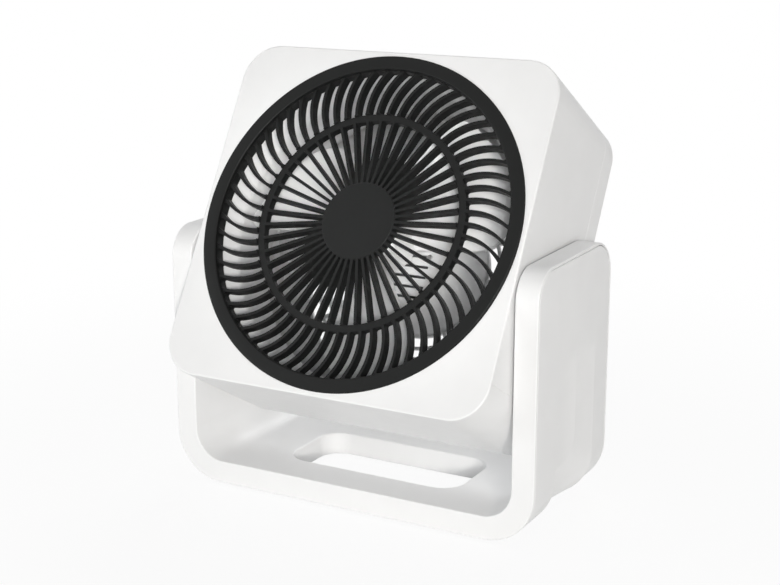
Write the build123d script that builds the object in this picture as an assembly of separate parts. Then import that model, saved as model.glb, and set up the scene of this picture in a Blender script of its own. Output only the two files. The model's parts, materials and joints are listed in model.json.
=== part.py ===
from build123d import *
import os

# A box fan: a square head tilts between the arms of a U-shaped stand.
# Lengths are in millimetres and angles in degrees.
# The stand is drawn about its own middle: x to the right, y to the rear, z up from its underside.
# The head is drawn on its own axis: x to the right, y up its face, z out of its front face.

# Stand
STAND_WIDTH = 345.0
STAND_DEPTH = 153.0
BAND = 20.0  # thickness of the arms and of the base
ARM_TOP = 226.0  # height of the arms above the underside of the base
OUTER_CORNER = 44.0
INNER_CORNER = 26.0
ARM_FRONT_ROUND = 26.0
ARM_REAR_ROUND = 33.0
STAND_WALL = 2.0
EDGE_ROUND = 1.2
COVER_SEAM = 0.6  # gap round the arm covers and the base plate
COVER_EDGE = 0.8  # rounding of the outer edges of the covers
OUTLINE_MIDDLE = 9.1  # how far the middle of the whole outline lies behind the pivot

# Hand slot in the base
SLOT_WIDTH = 167.0
SLOT_DEPTH = 78.6
SLOT_CORNER = 21.0
SLOT_EDGE = 1.6

# Two overlapping flutes in each arm cover, as distances behind the front of the stand
FLUTE_START = 41.0
FLUTE_CREST = 77.5
FLUTE_END = 118.0
FLUTE_TOP = 148.0
CREST_PROUD = 1.6  # how far a crest stands out of the cover
SCALE_RISE = 26.0  # length over which the front flute rises to its crest
SCALE_BOTTOM = 54.0
SCALE_ROUND = 22.0
SCALE_ROOT = 7.5  # how deep the front flute is rooted in the rear one
# The rear flute: distance behind the front, depth below the cover, height of its rounded foot
FLUTE_SECTIONS = ((FLUTE_START, 0.8, 90.0), (79.5, 1.1, 67.0), (FLUTE_END, -CREST_PROUD, OUTER_CORNER))

# Feet under the base plate
FOOT_LIFT = 2.0  # how far the rubber feet hold the base off the floor
FOOT_RADIUS = 10.0
FOOT_POCKET = 0.8
FOOT_EDGE = 0.6
FOOT_X = 114.0
FOOT_Y = 56.0

# Screws and the posts that they bite into
SCREW_RADIUS = 1.5
SCREW_HOLE = 1.55
SCREW_HEAD = 3.2
HEAD_SHARE = 0.45  # height of a screw head as a share of its radius
HEAD_ROUNDING = 0.4  # rounding of a screw head as a share of its height
END_ROOM = 1.0  # left in a hole past the end of a screw or spindle
POST_RADIUS = 4.5
BASE_SCREW_LENGTH = 9.0
BASE_SCREWS = ((-100.0, -26.0), (-100.0, 26.0), (100.0, -26.0), (100.0, 26.0), (0.0, -58.0), (0.0, 58.0))
ARM_SCREW_LENGTH = 10.0
ARM_SCREWS = ((-58.0, 104.0), (-58.0, 186.0), (60.0, 62.0), (60.0, 186.0))  # seen from the side

# Head
FACE = 300.0
HEAD_DEPTH = 146.0
HEAD_CORNER = 32.0
HEAD_WALL = 2.5
REAR_ROUND = 4.0
LOWER_ROUND = 20.0  # rounding of the lower rear edge
FRONT_THICK = 4.0
FRONT_EDGE = 1.6
FIT_GAP = 0.2  # between pieces that slide into each other
SKIRT_REAR = -14.0  # end of the skirt that locates the front frame in the shells
SKIRT_WALL = 2.0
SHELL_SPLIT = -116.0  # seam between the upper and the lower shell, measured from the fan axis
SEAM_GROOVE = 0.35
SEAM_DEPTH = 0.6
REAR_SEAM = -121.0  # where the rear shell meets the other two
SEAM_CHAMFER = 0.7
LIP_LENGTH = 5.0  # lip of the rear shell inside the other two
LIP_WALL = 5.0  # thickness of its side walls, which carry the lip
TILT = 30.0  # how far the head leans back at rest
SHELL_SCREW_INSET = 7.5  # from the outside of the head
SHELL_SCREW_SPREAD = 96.0
SHELL_SCREW_LENGTH = 12.0
SHELL_SCREW_HEAD = 2.8
SHELL_POST_RADIUS = 5.3
SHELL_POST_LENGTH = 13.0
COUNTERBORE = 3.2
COUNTERBORE_FLOOR = 3.0

# Pivot of the head
PIVOT_HEIGHT = 186.0  # above the underside of the base
PIVOT_BACK = 76.5  # behind the front face
PIVOT_DROP = 25.1  # below the fan axis
PIN_RADIUS = 9.0
PIN_FLANGE = 4.0
PIN_PAST_BUSH = 1.0
BUSH_RADIUS = 12.0
BUSH_LENGTH = 12.0
BUSH_FLANGE = 1.5
BUSH_SEAT_WALL = 4.0
FLANGE_RADIUS = 18.0
RUNNING_GAP = 0.05
PIN_HOLE_ROOM = 0.1
WASHER_RADIUS = 15.0
WASHER_THICK = 1.4
SPRING_RADIUS = 13.5
SPRING_THICK = 0.9
PIVOT_SCREW_RADIUS = 2.5
PIVOT_SCREW_HOLE = 2.55
PIVOT_SCREW_HEAD = 5.0
PIVOT_SCREW_LENGTH = 12.0

# Front grille
RIM_RADIUS = 145.8
RIM_INNER = 133.4
RIM_PROUD = 1.6
RIM_SEAT = 2.2  # depth of the recess that the rim sits in
RIM_ROUND = 1.4
RIM_STEP = 0.4  # ledge between the rim and the vanes
GRILLE_COLLAR = 136.6
COLLAR_PAST_VANES = 1.0
VANE_FRONT = -1.2
VANE_DEPTH = 9.0
VANE_THICK = 2.5
VANE_LAP = 2.0  # how far the vanes run into the rings that carry them
INNER_VANES = 45
INNER_VANE_TURN = 4.0
OUTER_VANES = 60
OUTER_VANE_TURN = -1.15
VANE_SWEEP_RADIUS = 54.5  # radius of the arc that each outer vane follows
VANE_SWEEP_ANGLE = 54.0
MID_RING_OUTER = 94.6
MID_RING_INNER = 88.6
MID_RING_FRONT = -3.0
MID_RING_GROOVE = 0.3  # how far the recess of the mid ring cuts into the vanes
HUB_RADIUS = 33.5
HUB_FRONT = -0.8
HUB_EDGE = 0.5
HUB_WALL = 3.0
GAP_ROUND_RIM = 1.2
GAP_ROUND_OUTSIDE_RING = 1.8
GAP_ROUND_INSIDE_RING = 1.5
GAP_ROUND_HUB = 0.6

# Air duct
DUCT_RADIUS = 128.0
DUCT_WALL = 2.0
DUCT_MOUTH = 137.6
DUCT_FLANGE = 143.0
DUCT_FLANGE_REAR = -6.5
DUCT_MOUTH_END = -13.0
DUCT_THROAT = -29.0
DUCT_FLARE = -79.0
DUCT_REAR = -90.0
DUCT_FLARE_OUT = 5.0
DUCT_BEND = 10.0  # rounding of its bends

# Fan
BLADE_COUNT = 3
BLADE_RADIUS = 122.0
BLADE_PHASE = 34.0
BLADE_THICK = 2.2
BLADE_MIDDLE = -43.0  # middle of the blades behind the front face
BLADE_HALF_DEPTH = 19.0
BLADE_ROOT_HALF = 5.0
BLADE_SPREAD = 0.55  # how fast a blade widens with its radius
BLADE_CAMBER = 0.14  # sag of a blade as a share of its half width
BLADE_TRIM = 8.0  # how far the raw blade reaches past its outline
BLADE_LEADING_ROUND = 38.0
BLADE_TRAILING_ROUND = 16.0
BLADE_STATIONS = (12.0, 45.0, 82.0, 126.0)
FAN_HUB_RADIUS = 25.0
FAN_HUB_FRONT = -24.0
FAN_HUB_REAR = -64.0
FAN_HUB_ROUND = 6.0
FAN_HUB_WALL = 2.5
FAN_HUB_CAP = 5.0
FAN_BOSS_RADIUS = 9.0
NUT_LENGTH = 9.0
NUT_ROUND = 3.0

# Motor
SHAFT_RADIUS = 4.0
SHAFT_FRONT = -19.0
MOTOR_RADIUS = 44.0
FRONT_BELL = -78.0
CORE_FRONT = -90.0
CORE_REAR = -112.0
REAR_BELL = -124.0
BELL_WALL = 2.5
BELL_RIM = 8.0
BELL_BOSS_RADIUS = 11.0
FRONT_BOSS_LENGTH = 7.0
REAR_BOSS_LENGTH = 3.0
BELL_POSTS = 3
BELL_POST_CIRCLE = 38.0
BEARING_RADIUS = 8.0
CORE_BORE = 22.0
AIR_GAP = 0.5
WINDING_GAP = 2.0
WINDING_LENGTH = 7.0
WINDING_ROUND = 2.5
BOLT_RADIUS = 1.8
BOLT_HOLE = 1.85
BOLT_HEAD = 3.0
BOLT_CIRCLE = 39.0
BOLTS = 4
BOLT_TURN = 45.0
MOTOR_COVER_RADIUS = 58.0
MOTOR_COVER_FRONT = -72.0
MOTOR_COVER_WALL = 2.2
MOTOR_COVER_ROUND = 5.0
MOTOR_SCREW_CIRCLE = 36.5
MOTOR_SCREWS = 4
MOTOR_SCREW_TURN = -7.0
MOTOR_SCREW_HEAD = 2.4
MOTOR_SCREW_LENGTH = 8.0
MOTOR_POST_RADIUS = 3.3
VENT_ROWS = 10
VENT_PITCH = 9.05
VENT_HEIGHT = 2.5
VENT_HALF = 36.7
VENT_REACH = 53.5  # how far from the fan axis a vent may end
VENT_BOSS_ROOM = 5.0
BOSS_HOLE_ROOM = 1.0

# Rear inlet and speed control
REAR_OPENING = 120.5
REAR_FLANGE = 126.0
REAR_PROUD = 2.5
REAR_THICK = 4.0
REAR_CENTRE = 60.0
REAR_RIM = 2.5
REAR_SPOKES = 12
REAR_SPOKE_WIDTH = 3.0
REAR_RINGS = 5
REAR_RING_WIDTH = 2.8
REAR_SPIGOT_GAP = 0.3
REAR_SCREWS = 6
REAR_SCREW_CIRCLE = 123.2
REAR_SCREW_HEAD = 2.6
REAR_SCREW_LENGTH = 10.0
REAR_POST_LENGTH = 10.0
GLAND_DROP = 44.0  # below the fan axis
GLAND_RADIUS = 5.5
GLAND_COLLAR = 2.0
CORD_HOLE = 3.6
SWITCH_SIZE = 26.0
SWITCH_DEPTH = 14.0
SWITCH_ROUND = 2.0
SPINDLE_RADIUS = 3.0
SPINDLE_DEPTH = 8.0  # how far the spindle reaches into the switch
SPINDLE_HOLE_ROOM = 0.6
KNOB_RADIUS = 19.0
KNOB_LENGTH = 15.0
KNOB_GAP = 1.0
KNOB_FACE = 3.0  # thickness of its face over the end of the spindle
KNOB_ROUND = 2.0
KNOB_GRIPS = 18
GRIP_RADIUS = 2.2
GRIP_CIRCLE = 20.2
GRIP_END = 3.5
POINTER_WIDTH = 2.4
POINTER_LENGTH = 14.0
POINTER_PROUD = 1.6

# Heights and planes that follow from the driving dimensions
SPARE = 10.0  # how far a cut reaches past the solid that it cuts
HALF_WIDTH = STAND_WIDTH / 2
HALF_DEPTH = STAND_DEPTH / 2
ARM_INSIDE = HALF_WIDTH - BAND
CORNER_CENTRE = HALF_WIDTH - OUTER_CORNER
HALF_FACE = FACE / 2
INSIDE_FACE = HALF_FACE - HEAD_WALL
INSIDE_CORNER = HEAD_CORNER - HEAD_WALL
REAR_PLANE = -HEAD_DEPTH
REAR_OUTSIDE = REAR_PLANE - REAR_PROUD  # outer face of the rear cover
REAR_INSIDE = REAR_OUTSIDE + REAR_THICK  # inner face of the rear cover
VANE_BACK = VANE_FRONT - VANE_DEPTH
PIN_END = ARM_INSIDE + BUSH_LENGTH + PIN_PAST_BUSH
KNOB_FRONT = REAR_OUTSIDE - KNOB_GAP
KNOB_END = KNOB_FRONT - KNOB_LENGTH

STAND_PLACE = Pos(0, -OUTLINE_MIDDLE, FOOT_LIFT)
TILT_PLACE = STAND_PLACE * Pos(0, 0, PIVOT_HEIGHT) * Rot(90 - TILT, 0, 0)
HEAD_PLACE = TILT_PLACE * Pos(0, PIVOT_DROP, PIVOT_BACK)

BOTTOM = (Align.CENTER, Align.CENTER, Align.MIN)
FLOOR = (Align.CENTER, Align.MIN)


def turned(*points):
    """A solid of revolution about the fan axis from (radius, height) points."""
    return revolve(Plane.XZ * make_face(Polyline(*points, close=True)), Axis.Z)


def disc(radius, low, high):
    """A cylinder on the fan axis between two heights."""
    return Pos(0, 0, low) * Cylinder(radius, high - low, align=BOTTOM)


def ring(inner, outer, low, high):
    """A plain ring on the fan axis between two heights."""
    return extrude(Pos(0, 0, low) * (Circle(outer) - Circle(inner)), high - low)


def box_between(low, high, half, corner):
    """A rounded square prism on the fan axis between two heights."""
    return extrude(Pos(0, 0, low) * RectangleRounded(2 * half, 2 * half, corner), high - low)


def cross_rod(radius, start, end):
    """A cylinder along x between two distances from the middle."""
    return Pos(start, 0, 0) * Rot(0, 90, 0) * Cylinder(radius, end - start, align=BOTTOM)


def both_sides(right):
    """A right-hand solid and its mirror image on the left, as separate solids."""
    return Compound(children=[right, mirror(right, Plane.YZ)])


def screw(length, head_radius=SCREW_HEAD, shank_radius=SCREW_RADIUS):
    """A screw that points down, with the underside of its head at the origin."""
    head_height = HEAD_SHARE * head_radius
    head = Cylinder(head_radius, head_height, align=BOTTOM)
    head = fillet(head.edges().sort_by(Axis.Z)[-1], head_height * HEAD_ROUNDING)
    return head + Pos(0, 0, -length) * Cylinder(shank_radius, length, align=BOTTOM)


# Stand

def cup_face(half, floor, corner):
    """A face that is open at the top: straight sides and a flat bottom with rounded corners."""
    face = Pos(0, floor) * Rectangle(2 * half, ARM_TOP + SPARE - floor, align=FLOOR)
    return fillet(face.vertices().group_by(Axis.Y)[0], corner)


def arm_side(inset):
    """The side outline of the arms, with its two rounded top corners, across the whole stand."""
    half = HALF_DEPTH - inset
    face = Pos(0, -SPARE) * Rectangle(2 * half, ARM_TOP - inset + SPARE, align=FLOOR)
    front_corner = face.vertices().group_by(Axis.Y)[-1].sort_by(Axis.X)[0]
    face = fillet(front_corner, ARM_FRONT_ROUND - inset)
    rear_corner = face.vertices().group_by(Axis.X)[-1].sort_by(Axis.Y)[-1]
    face = fillet(rear_corner, ARM_REAR_ROUND - inset)
    return extrude(Plane.YZ * face, STAND_WIDTH, both=True)


def u_prism(face):
    """A front-view face drawn out over the whole depth of the stand."""
    return extrude(Plane.XZ * face, HALF_DEPTH, both=True)


def is_corner_edge(edge):
    """True for the real corners of the U, false for the seams where a flat turns into a round."""
    if edge.geom_type != GeomType.LINE:
        return True
    along = edge.tangent_at(0)
    on_arm_top = edge.center().Z > ARM_TOP / 2
    arm_top_seam = abs(along.X) > abs(along.Y) and on_arm_top
    foot_seam = abs(along.Y) > abs(along.X) and not on_arm_top
    return not arm_top_seam and not foot_seam


def is_slot_top(edge):
    """True for the upper edges of the hand slot."""
    spot = edge.center()
    on_base = abs(spot.Z - BAND) < STAND_WALL / 2
    in_width = abs(spot.X) < SLOT_WIDTH / 2 + STAND_WALL
    return on_base and in_width and abs(spot.Y) < SLOT_DEPTH / 2 + STAND_WALL


def make_stand_frame():
    """The U-shaped moulding: an inner wall with rims that the covers close, bosses and posts."""
    outside = cup_face(HALF_WIDTH, 0, OUTER_CORNER)
    inside = cup_face(ARM_INSIDE, BAND, INNER_CORNER)
    body = u_prism(outside - inside) & arm_side(0)
    body = fillet(body.edges().filter_by(is_corner_edge), EDGE_ROUND)

    wide = Pos(0, -SPARE) * Rectangle(STAND_WIDTH + SPARE, ARM_TOP + 2 * SPARE, align=FLOOR)
    inner_wall = cup_face(ARM_INSIDE + STAND_WALL, BAND - STAND_WALL, INNER_CORNER + STAND_WALL)
    body -= u_prism(wide - inner_wall) & arm_side(STAND_WALL)

    slot = RectangleRounded(SLOT_WIDTH, SLOT_DEPTH, SLOT_CORNER)
    slot_wall = offset(slot, STAND_WALL)
    body += extrude(Pos(0, 0, STAND_WALL) * slot_wall, BAND - 2 * STAND_WALL)
    body -= extrude(slot, BAND + SPARE)
    body = fillet(body.edges().filter_by(is_slot_top), SLOT_EDGE)

    for x, y in BASE_SCREWS:
        body += Pos(x, y, 0) * disc(POST_RADIUS, STAND_WALL, BAND - STAND_WALL)
        body -= Pos(x, y, 0) * disc(SCREW_HOLE, STAND_WALL, STAND_WALL + BASE_SCREW_LENGTH)
    boss = cross_rod(BUSH_RADIUS + BUSH_SEAT_WALL, ARM_INSIDE + STAND_WALL, ARM_INSIDE + BUSH_LENGTH)
    bore = cross_rod(BUSH_RADIUS, ARM_INSIDE - SPARE, HALF_WIDTH)
    hole = cross_rod(SCREW_HOLE, ARM_INSIDE - SPARE, HALF_WIDTH)
    body += Pos(0, 0, PIVOT_HEIGHT) * both_sides(boss)
    body -= Pos(0, 0, PIVOT_HEIGHT) * both_sides(bore)
    for y, z in ARM_SCREWS:
        body -= Pos(0, y, z) * both_sides(hole)
    return body


def flute_section(behind, depth, foot, wall):
    """A front-view face of the right arm in the rear flute, with its rounded foot."""
    side = HALF_WIDTH - depth - wall
    across = side - CORNER_CENTRE
    corner = EllipticalCenterArc((CORNER_CENTRE, foot), across, foot - wall, 270, arc_size=90)
    rest = Polyline(
        (side, foot), (side, FLUTE_TOP), (CORNER_CENTRE, FLUTE_TOP), (CORNER_CENTRE, wall)
    )
    return Pos(0, behind - HALF_DEPTH, 0) * (Plane.XZ * make_face(corner + rest))


def flute_body(wall):
    """The arm inside the rear flute, less a wall."""
    return loft([flute_section(*section, wall) for section in FLUTE_SECTIONS])


def flute_front_wall():
    """The wall that closes the step between the cover and the rear flute."""
    outline = cup_face(HALF_WIDTH, 0, OUTER_CORNER) & Pos(CORNER_CENTRE, 0) * Rectangle(
        STAND_WIDTH, FLUTE_TOP, align=(Align.MIN, Align.MIN)
    )
    wall = Pos(0, FLUTE_START - HALF_DEPTH, 0) * extrude(Plane.XZ * outline, STAND_WALL)
    start, depth, foot = FLUTE_SECTIONS[0]
    opening = flute_section(start, depth, foot, STAND_WALL)
    return wall - extrude(opening, STAND_WALL + SPARE, both=True)


def flute_scale():
    """The front flute: a scale that rises to its crest over the rear one, with a rounded lower end."""
    start = (HALF_WIDTH, FLUTE_START - HALF_DEPTH)
    rise = (HALF_WIDTH, FLUTE_CREST - SCALE_RISE - HALF_DEPTH)
    crest = (HALF_WIDTH + CREST_PROUD, FLUTE_CREST - HALF_DEPTH)
    root = HALF_WIDTH - SCALE_ROOT
    curve = TangentArc(rise, crest, tangent=(0, 1))
    back = Polyline(crest, (root, crest[1]), (root, start[1]), start)
    plan = make_face(Line(start, rise) + curve + back)
    scale = extrude(Pos(0, 0, SCALE_BOTTOM) * plan, FLUTE_TOP - SCALE_BOTTOM)
    side = Pos(start[1], SCALE_BOTTOM) * Rectangle(
        FLUTE_CREST - FLUTE_START, FLUTE_TOP - SCALE_BOTTOM, align=(Align.MIN, Align.MIN)
    )
    lower_rear = side.vertices().group_by(Axis.Y)[0].sort_by(Axis.X)[-1]
    return scale & extrude(Plane.YZ * fillet(lower_rear, SCALE_ROUND), STAND_WIDTH)


def outer_skin():
    """The skin that closes the arms and the base from outside, before it is parted."""
    block = u_prism(cup_face(HALF_WIDTH, 0, OUTER_CORNER)) & arm_side(STAND_WALL + COVER_SEAM)
    block = fillet(block.edges().filter_by(is_corner_edge), COVER_EDGE)
    return block - u_prism(cup_face(HALF_WIDTH - STAND_WALL, STAND_WALL, OUTER_CORNER - STAND_WALL))


def make_right_arm_cover():
    """The outer skin of an arm, with its two flutes and its screw posts."""
    half_space = Pos(CORNER_CENTRE, 0, -SPARE) * Box(
        STAND_WIDTH, 2 * STAND_DEPTH, ARM_TOP + 2 * SPARE, align=(Align.MIN, Align.CENTER, Align.MIN)
    )
    cover = outer_skin() & half_space
    zone = Pos(CORNER_CENTRE, FLUTE_START - HALF_DEPTH, -SPARE) * Box(
        STAND_WIDTH, FLUTE_END - FLUTE_START, FLUTE_TOP + SPARE, align=(Align.MIN, Align.MIN, Align.MIN)
    )
    cover -= zone
    cover += flute_body(0) - flute_body(STAND_WALL)
    cover += flute_front_wall()
    cover += flute_scale()
    for y, z in ARM_SCREWS:
        cover += Pos(0, y, z) * cross_rod(POST_RADIUS, ARM_INSIDE + STAND_WALL, HALF_WIDTH - STAND_WALL / 2)
        cover -= Pos(0, y, z) * cross_rod(SCREW_HOLE, ARM_INSIDE, ARM_INSIDE + ARM_SCREW_LENGTH + END_ROOM)
    return cover


def make_left_arm_cover():
    """The mirror image of the right cover."""
    return mirror(make_right_arm_cover(), Plane.YZ)


def foot_spots():
    """Where the feet stand under the base plate."""
    return [Pos(x, y, 0) for x in (-FOOT_X, FOOT_X) for y in (-FOOT_Y, FOOT_Y)]


def make_base_plate():
    """The skin under the base, with the hand slot and pockets for the feet."""
    plate = outer_skin() & Box(2 * (CORNER_CENTRE - COVER_SEAM), 2 * STAND_DEPTH, 2 * BAND)
    plate -= extrude(RectangleRounded(SLOT_WIDTH, SLOT_DEPTH, SLOT_CORNER), SPARE, both=True)
    for spot in foot_spots():
        plate -= spot * disc(FOOT_RADIUS, 0, FOOT_POCKET)
    for x, y in BASE_SCREWS:
        plate -= Pos(x, y, 0) * disc(SCREW_HOLE, -SPARE, SPARE)
    return plate


def make_rubber_feet():
    """Four round feet let into the base plate."""
    foot = disc(FOOT_RADIUS, -FOOT_LIFT, FOOT_POCKET)
    foot = fillet(foot.edges().sort_by(Axis.Z)[0], FOOT_EDGE)
    return Compound(children=[spot * foot for spot in foot_spots()])


def make_base_screws():
    """The screws that hold the base plate from below."""
    pan = Rot(180, 0, 0) * screw(BASE_SCREW_LENGTH)
    return Compound(children=[Pos(x, y, 0) * pan for x, y in BASE_SCREWS])


def make_arm_cover_screws():
    """The screws that hold the arm covers, driven from between the arms."""
    pan = Rot(0, -90, 0) * screw(ARM_SCREW_LENGTH)
    right = [Pos(ARM_INSIDE, y, z) * pan for y, z in ARM_SCREWS]
    left = [mirror(one, Plane.YZ) for one in right]
    return Compound(children=right + left)


def make_right_pivot_bush():
    """A flanged bush in the bore of the arm."""
    sleeve = cross_rod(BUSH_RADIUS, ARM_INSIDE, ARM_INSIDE + BUSH_LENGTH)
    flange = cross_rod(FLANGE_RADIUS, ARM_INSIDE - BUSH_FLANGE, ARM_INSIDE)
    bore = cross_rod(PIN_RADIUS + RUNNING_GAP, ARM_INSIDE - SPARE, HALF_WIDTH)
    return Pos(0, 0, PIVOT_HEIGHT) * (sleeve + flange - bore)


def make_left_pivot_bush():
    """The mirror image of the right bush."""
    return mirror(make_right_pivot_bush(), Plane.YZ)


# Pivot hardware of the head, on the pivot axis

def make_right_pivot_pin():
    """A flanged pin that comes out of the head and turns in the bush."""
    pin = cross_rod(PIN_RADIUS, INSIDE_FACE, PIN_END)
    pin += cross_rod(FLANGE_RADIUS, INSIDE_FACE - PIN_FLANGE, INSIDE_FACE)
    return pin - cross_rod(PIVOT_SCREW_HOLE, PIN_END - PIVOT_SCREW_LENGTH, HALF_WIDTH)


def make_left_pivot_pin():
    """The mirror image of the right pin."""
    return mirror(make_right_pivot_pin(), Plane.YZ)


def make_pivot_washers():
    """The washers on the ends of the pins, which keep the arms from spreading."""
    washer = cross_rod(WASHER_RADIUS, PIN_END, PIN_END + WASHER_THICK)
    return both_sides(washer - cross_rod(PIVOT_SCREW_HOLE, ARM_INSIDE, HALF_WIDTH))


def make_spring_washers():
    """The washers that press on the bushes, so that the head stays where it is set."""
    washer = cross_rod(SPRING_RADIUS, PIN_END - SPRING_THICK, PIN_END)
    return both_sides(washer - cross_rod(PIN_RADIUS + FIT_GAP, ARM_INSIDE, HALF_WIDTH))


def make_pivot_screws():
    """The screws in the ends of the pins."""
    pan = Rot(0, 90, 0) * screw(PIVOT_SCREW_LENGTH, PIVOT_SCREW_HEAD, PIVOT_SCREW_RADIUS)
    return both_sides(Pos(PIN_END + WASHER_THICK, 0, 0) * pan)


# Head housing

def make_front_frame():
    """The flat square front with its round opening and the skirt that fits into the shells."""
    frame = box_between(-FRONT_THICK, 0, HALF_FACE, HEAD_CORNER)
    frame = fillet(frame.faces().sort_by(Axis.Z)[-1].edges(), FRONT_EDGE)
    half = INSIDE_FACE - FIT_GAP
    skirt = box_between(SKIRT_REAR, -FRONT_THICK, half, INSIDE_CORNER)
    skirt -= box_between(SKIRT_REAR - SPARE, -FRONT_THICK, half - SKIRT_WALL, INSIDE_CORNER - SKIRT_WALL)
    frame += skirt
    frame -= disc(RIM_RADIUS + FIT_GAP, -RIM_SEAT, SPARE)
    return frame - disc(GRILLE_COLLAR + FIT_GAP, -2 * SPARE, SPARE)


def shell_screw_spots():
    """Where screws hold the rear shell, near the edges of the head."""
    edge = HALF_FACE - SHELL_SCREW_INSET
    level = [Pos(x, y, 0) for x in (-SHELL_SCREW_SPREAD, SHELL_SCREW_SPREAD) for y in (-edge, edge)]
    return level + [Pos(-edge, 0, 0), Pos(edge, 0, 0)]


def head_wrap():
    """The four walls behind the front, open at both ends, with posts for the rear shell."""
    wrap = box_between(REAR_SEAM, -FRONT_THICK, HALF_FACE, HEAD_CORNER)
    wrap -= box_between(REAR_SEAM - SPARE, SPARE, INSIDE_FACE, INSIDE_CORNER)
    for spot in shell_screw_spots():
        wrap += spot * disc(SHELL_POST_RADIUS, REAR_SEAM, REAR_SEAM + SHELL_POST_LENGTH)
        wrap -= spot * disc(SCREW_HOLE, REAR_SEAM, REAR_SEAM + SHELL_SCREW_LENGTH)
    hole = Pos(0, -PIVOT_DROP, -PIVOT_BACK) * cross_rod(PIN_RADIUS + PIN_HOLE_ROOM, -FACE, FACE)
    return wrap - hole


def seam_notch():
    """The thin groove that shows where the two shells meet."""
    outer = box_between(REAR_PLANE, 0, HALF_FACE + SPARE, HEAD_CORNER)
    inner = box_between(REAR_PLANE - SPARE, SPARE, HALF_FACE - SEAM_DEPTH, HEAD_CORNER - SEAM_DEPTH)
    slab = Pos(0, SHELL_SPLIT, 0) * Box(2 * FACE, 2 * SEAM_GROOVE, 2 * FACE)
    return (outer - inner) & slab


def make_upper_shell():
    """The walls above the seam."""
    above = Pos(0, SHELL_SPLIT, 0) * Box(
        2 * FACE, 2 * FACE, 2 * FACE, align=(Align.CENTER, Align.MIN, Align.CENTER)
    )
    return (head_wrap() & above) - seam_notch()


def make_lower_shell():
    """The walls below the seam."""
    below = Pos(0, SHELL_SPLIT, 0) * Box(
        2 * FACE, 2 * FACE, 2 * FACE, align=(Align.CENTER, Align.MAX, Align.CENTER)
    )
    return (head_wrap() & below) - seam_notch()


def rear_roll(bottom, rear, radius):
    """The side profile of the rear, with its rounded lower edge, across the whole head."""
    face = Pos(bottom, rear) * Rectangle(FACE, HEAD_DEPTH, align=(Align.MIN, Align.MIN))
    lower_rear = face.vertices().group_by(Axis.Y)[0].sort_by(Axis.X)[0]
    return extrude(Plane.YZ * fillet(lower_rear, radius), FACE, both=True)


def make_rear_shell():
    """The cap that closes the box from behind, with a lip that locates it in the other shells."""
    outer = box_between(REAR_PLANE, REAR_SEAM, HALF_FACE, HEAD_CORNER)
    outer = fillet(outer.faces().sort_by(Axis.Z)[0].edges(), REAR_ROUND)
    outer = chamfer(outer.faces().sort_by(Axis.Z)[-1].edges(), SEAM_CHAMFER)
    outer &= rear_roll(-HALF_FACE, REAR_PLANE, LOWER_ROUND)
    half = HALF_FACE - LIP_WALL
    corner = HEAD_CORNER - LIP_WALL
    inner = box_between(REAR_PLANE + HEAD_WALL, REAR_SEAM, half, corner)
    shell = outer - (inner & rear_roll(-half, REAR_PLANE + HEAD_WALL, LOWER_ROUND - HEAD_WALL))
    lip = box_between(REAR_SEAM, REAR_SEAM + LIP_LENGTH, INSIDE_FACE - FIT_GAP, INSIDE_CORNER - FIT_GAP)
    lip -= box_between(REAR_SEAM, REAR_SEAM + LIP_LENGTH, half, corner)
    for spot in shell_screw_spots():
        lip -= spot * disc(SHELL_POST_RADIUS + FIT_GAP, REAR_SEAM, REAR_SEAM + LIP_LENGTH)
        shell += (spot * disc(SHELL_POST_RADIUS, REAR_PLANE, REAR_SEAM)) & outer
        shell -= spot * disc(COUNTERBORE, REAR_PLANE - SPARE, REAR_SEAM - COUNTERBORE_FLOOR)
        shell -= spot * disc(SCREW_HOLE, REAR_PLANE, REAR_SEAM)
    for spot in rear_screw_spots():
        shell += spot * disc(POST_RADIUS, REAR_PLANE + HEAD_WALL, REAR_PLANE + REAR_POST_LENGTH)
        shell -= spot * disc(SCREW_HOLE, REAR_PLANE, REAR_PLANE + REAR_POST_LENGTH)
    shell -= disc(REAR_OPENING, REAR_PLANE, REAR_SEAM)
    return shell + lip


def make_rear_shell_screws():
    """The screws in the wells of the rear shell."""
    seat = Pos(0, 0, REAR_SEAM - COUNTERBORE_FLOOR)
    pan = seat * Rot(180, 0, 0) * screw(SHELL_SCREW_LENGTH, SHELL_SCREW_HEAD)
    return Compound(children=[spot * pan for spot in shell_screw_spots()])


def make_air_duct():
    """A flanged ring that narrows to the blades and flares again at its rear end."""
    outer = DUCT_RADIUS + DUCT_WALL
    face = make_face(Polyline(
        (DUCT_MOUTH, -FRONT_THICK), (DUCT_FLANGE, -FRONT_THICK), (DUCT_FLANGE, DUCT_FLANGE_REAR),
        (DUCT_MOUTH + DUCT_WALL, DUCT_FLANGE_REAR), (DUCT_MOUTH + DUCT_WALL, DUCT_MOUTH_END),
        (outer, DUCT_THROAT), (outer, DUCT_FLARE), (outer + DUCT_FLARE_OUT, DUCT_REAR),
        (DUCT_RADIUS + DUCT_FLARE_OUT, DUCT_REAR), (DUCT_RADIUS, DUCT_FLARE),
        (DUCT_RADIUS, DUCT_THROAT), (DUCT_MOUTH, DUCT_MOUTH_END),
        close=True,
    ))
    bends = face.vertices().filter_by_position(Axis.Y, DUCT_FLARE, DUCT_MOUTH_END)
    return revolve(Plane.XZ * fillet(bends, DUCT_BEND), Axis.Z)


# Front grille

def inner_vane():
    """A straight radial vane between the hub and the mid ring."""
    start = HUB_RADIUS - VANE_LAP
    length = MID_RING_INNER + VANE_LAP - start
    return Pos(start, 0) * Rectangle(length, VANE_THICK, align=(Align.MIN, Align.CENTER))


def outer_vane():
    """A vane that leaves the mid ring radially and sweeps round into the rim."""
    centre = (MID_RING_OUTER - VANE_LAP, -VANE_SWEEP_RADIUS)
    return SlotArc(CenterArc(centre, VANE_SWEEP_RADIUS, 90, -VANE_SWEEP_ANGLE), VANE_THICK)


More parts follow.
